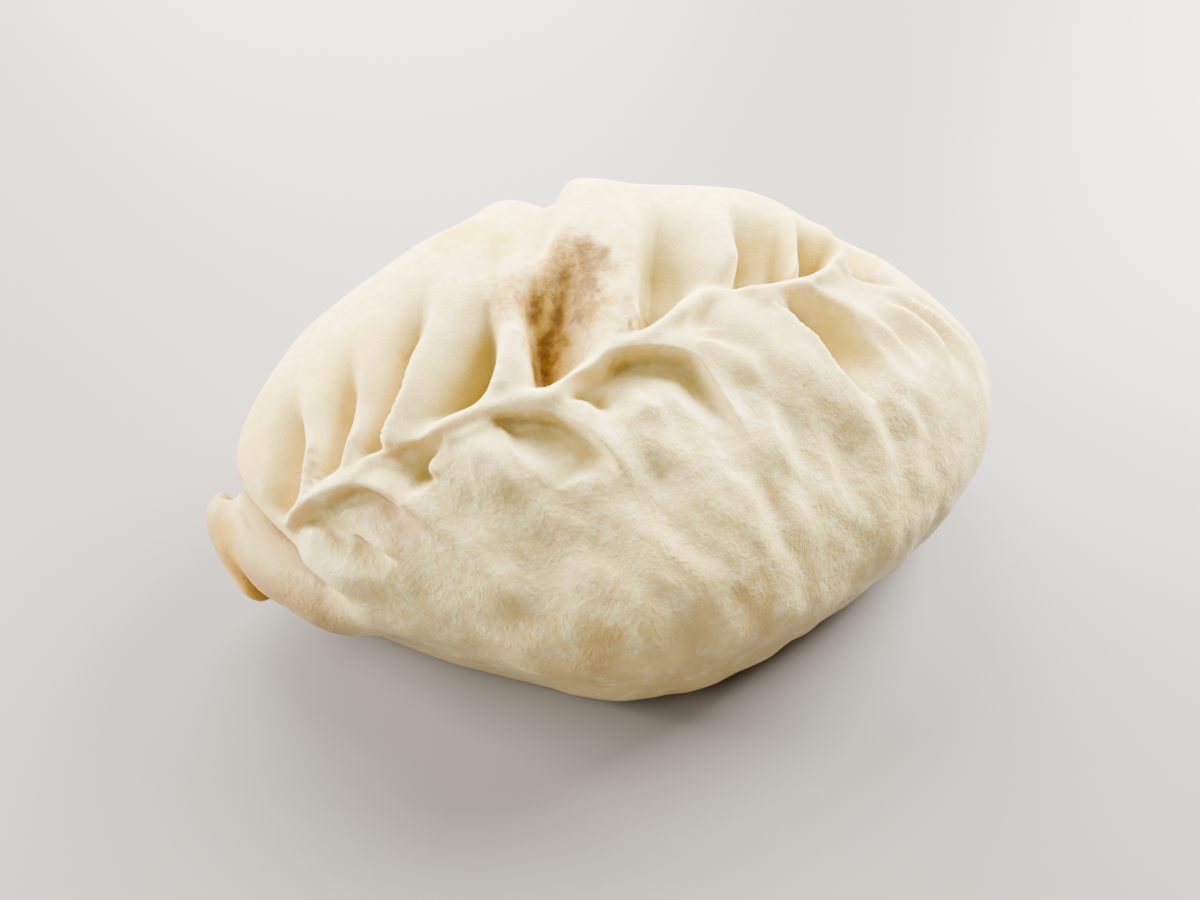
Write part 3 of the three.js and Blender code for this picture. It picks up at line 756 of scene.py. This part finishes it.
# Painted shade: the belly is painted tan low down, where it turns from the light. The same tan also lies
# in random patches on the near side.
low_belly_shade = ramp(plan.outputs["Z"], *BELLY_SHADE_HEIGHTS, 1, 0)
colour = paint(colour, TAN_AND_LOW_SHADE, low_belly_shade, share=0.65)
tan_patches = combine("MULTIPLY", ramp(noise_of(7, 3, 0.6), 0.5, 0.66), blistered)
colour = paint(colour, TAN_AND_LOW_SHADE, tan_patches, share=0.5)
pale_patches = combine("MULTIPLY", ramp(mottle, 0.52, 0.66), blistered)
colour = paint(colour, PINCHED, pale_patches, share=0.4)
# Painted shade: tan in the dimples of the near side, where the dents fall into shade.
dimple_shades = spots((-6.5, -23, 35, 4), (-14.5, -28, 33, 4.5), (-23.5, -26, 33, 6), (-27.5, -30.5, 27, 6),
                (-21, -36, 23, 5), (-8, -40, 23, 5))
colour = paint(colour, TAIL_SHADE_TAN, dimple_shades, share=0.25)
crest_mark = new_node("ShaderNodeAttribute", attribute_name="crest").outputs["Fac"]
colour = paint(colour, PINCHED, ramp(crest_mark, 0.3, 1, 0, 0.45))
haze = spots((-5, 7, 45, 10), (0, 7, 46, 8), (-8, 1, 43.5, 8), (-13, 7, 43, 7), (-3.5, 1, 45, 6))
speckle = noise_of(0.9, 3, 0.7)
colour = paint(colour, JUICE_TAN, combine("MULTIPLY", haze, ramp(speckle, 0.4, 0.6, 0.35, 0.85)))
stain = spots((-3, 11.5, 45.5, 6), (-5.5, 8, 44, 7.5), (-8, 5, 42.5, 7.5), (-12.5, 7, 42.5, 6),
              (-11, 2, 40.5, 6.5), (-13, -0.5, 38, 5.5))
colour = paint(colour, JUICE_ORANGE, combine("MULTIPLY", stain, ramp(speckle, 0.35, 0.6, 0.6, 0.95)))
# Juice stain, darkest down in the crack of the fold beside it: there it is partly the juice's brown and
# partly painted shade.
deep = spots((-1.5, 11, 46, 4.2), (-3.5, 9.5, 45.5, 4.6), (-5, 7.5, 44.5, 4.8), (-7, 6, 43, 4.8),
             (-9, 4, 41.5, 4.6), (-11, 2.5, 40, 4.4), (-12.5, 1, 38, 4), (-14, -1, 37, 3.6),
             (-12.5, 6.5, 42, 3.8))
colour = paint(colour, JUICE_AND_SHADE_BROWN, combine("MULTIPLY", deep, ramp(mottle, 0.38, 0.6, 0.6, 1)))
torn = spots((0, -3, 43.5, 1), (1, -2.5, 43.5, 1), (-1.5, -3, 43.5, 0.9), (-4.5, -3, 43.5, 0.8))
colour = paint(colour, JUICE_AND_SHADE_BROWN, torn, share=0.7)
specks = spots((28, -9, 36, 0.5), (31.5, 3.5, 38, 0.5), (18.5, -17.5, 38, 0.4), (-9, -30, 32, 0.4))
colour = paint(colour, JUICE_AND_SHADE_BROWN, specks, share=0.7)
# Painted shade: yellow shade in the hollows of the far right pleats and of the channel on the near
# right.
yellow = spots((34, 4.5, 39, 5), (34.5, 8, 40, 4.5), (27, -9.5, 36, 6), (30, -13, 35, 5),
               (26, 7, 40, 5), (41, 3, 37, 4))
colour = paint(colour, JUICE_AND_SHADE_YELLOW, yellow, share=0.6)
buttery = spots((-17.5, 24, 45.5, 6), (-13.5, 20, 45.5, 5))
colour = paint(colour, JUICE_AND_SHADE_YELLOW, buttery, share=0.9)
orange = spots((2.5, -39.5, 25.5, 4.5), (-20.5, -37, 24, 4))
colour = paint(colour, JUICE_ORANGE, orange, share=0.3)
# Painted highlight: fine pale flecks stand in for the glints of light on the wet near side.
glint_patches = spots((-38, -20, 27, 12), (-30, -15, 36, 10), (-25, -24, 32, 12), (0, -16, 41, 12),
                (12, -19, 40, 11))
painted_glints = combine("MULTIPLY", ramp(noise_of(0.8, 2, 0.6, (1, 2, 1.5)), 0.6, 0.7), glint_patches)
colour = paint(colour, PAINTED_GLINT, painted_glints, share=0.4)
# Painted shade: yellow shade in a small hollow hidden under a lip on the near side.
hidden_hollow_shade = spots((-33.5, -10.5, 34, 2.6), (-33.5, -12, 35, 2))
colour = paint(colour, HOLLOW_SHADE_YELLOW, hidden_hollow_shade, share=0.6)
pink = spots((-38.5, -16, 32.5, 3), (-40.5, -12.5, 34, 2.5))
colour = paint(colour, MEAT_PINK, pink, share=0.45)
# Painted shade: the tail's roll is painted tan low down, where it turns away from the light.
uneven_end = combine("ADD", plan.outputs["X"], combine("MULTIPLY", patches, UNEVEN_END))
by_tail = ramp(uneven_end, *TAIL_SKIN_TO, 1, 0)
low_tail_shade = ramp(plan.outputs["Z"], *TAIL_SHADE_UNDER, 1, 0.1)
colour = paint(colour, TAIL_SHADE_TAN, combine("MULTIPLY", by_tail, low_tail_shade))
rim = spots((-63.5, 3.5, 17, 3.6), (-63.5, 1, 15, 3.6), (-63.5, -1, 12.5, 3.6), (-62.5, -3, 10, 3.6))
colour = paint(colour, RIM_ORANGE, rim, share=0.95)
crease_shade_mark = new_node("ShaderNodeAttribute", attribute_name="crease").outputs["Fac"]
# Painted shade: brown shade down in the crease between the tail and the body.
colour = paint(colour, CREASE_SHADE_BROWN, crease_shade_mark, share=0.8)
links.new(colour, surface.inputs["Base Color"])
from_middle = combine("SUBTRACT", noise_of(3, 2, 0.5, (1, 1.8, 1.5)), 0.5)
wrinkle = ramp(combine("ABSOLUTE", from_middle, 0), 0, 0.05, 1, 0)
blister = combine("MULTIPLY", noise_of(1, 4, 0.62, (1, 1.1, 0.9)), BLISTER_BUMP)
crinkled = combine("ADD", blister, combine("MULTIPLY", wrinkle, WRINKLE_BUMP))
crinkles = combine("MULTIPLY", crinkled, blistered)
pores = combine("MULTIPLY", noise_of(0.5, 2, 0.6), PORE_BUMP)
skin_bump = new_node("ShaderNodeBump")
skin_bump.inputs["Strength"].default_value = 0.35
skin_bump.inputs["Distance"].default_value = 0.0004
links.new(combine("ADD", crinkles, pores), skin_bump.inputs["Height"])
wet = spots((-29, -12.5, 38, 8), (-22, -16, 38, 8), (-43, -13, 32, 7), (-33, -19, 34, 8))
wet_gloss = combine("MULTIPLY", wet, WET_GLOSS)
gloss = combine("ADD", combine("MULTIPLY", blistered, BLISTER_GLOSS), wet_gloss)
links.new(combine("SUBTRACT", MATT, gloss), surface.inputs["Roughness"])
surface.inputs["Specular IOR Level"].default_value = 0.1
links.new(combine("MULTIPLY", blistered, BLISTER_COAT), surface.inputs["Coat Weight"])
surface.inputs["Coat Roughness"].default_value = 0.22
links.new(skin_bump.outputs["Normal"], surface.inputs["Normal"])
dough.data.materials.clear()
dough.data.materials.append(finish)
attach(dough, "root")
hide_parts("bun")

# The table: a plain pale floor under the bun, warm like everything that the light of
# the room falls on. It is only there for the picture.
bpy.ops.mesh.primitive_plane_add(size=2)
table = bpy.context.object
table.name = "table"
table_top = bpy.data.materials.new("table")
table_top.use_nodes = True
table_top.node_tree.nodes["Principled BSDF"].inputs["Base Color"].default_value = (0.22, 0.195, 0.168, 1)
table.data.materials.append(table_top)

# The light: three wide soft windows behind the bun and beside it, and a weak one over its
# near side, in a dim warm room. Each window has its place in metres, its size and its power.
WINDOWS = [
    ((-0.65, 0.45, 0.33), 0.35, 30),
    ((0.10, 0.75, 0.45), 0.6, 44),
    ((0.70, 0.25, 0.42), 0.5, 51),
    ((-0.45, -0.12, 0.66), 0.3, 4),
]
LIT_PLACE = Vector((0, 0, 0.02))
room = bpy.data.worlds.new("room")
bpy.context.scene.world = room
room.use_nodes = True
room.node_tree.nodes["Background"].inputs["Color"].default_value = (1.0, 0.88, 0.72, 1)
room.node_tree.nodes["Background"].inputs["Strength"].default_value = 0.11
for place_at, size, power in WINDOWS:
    window = bpy.data.lights.new("window", "AREA")
    window.shape = "SQUARE"
    window.size = size
    window.energy = power
    pane = bpy.data.objects.new("window", window)
    bpy.context.collection.objects.link(pane)
    pane.location = place_at
    pane.rotation_euler = (LIT_PLACE - pane.location).to_track_quat("-Z", "Y").to_euler()
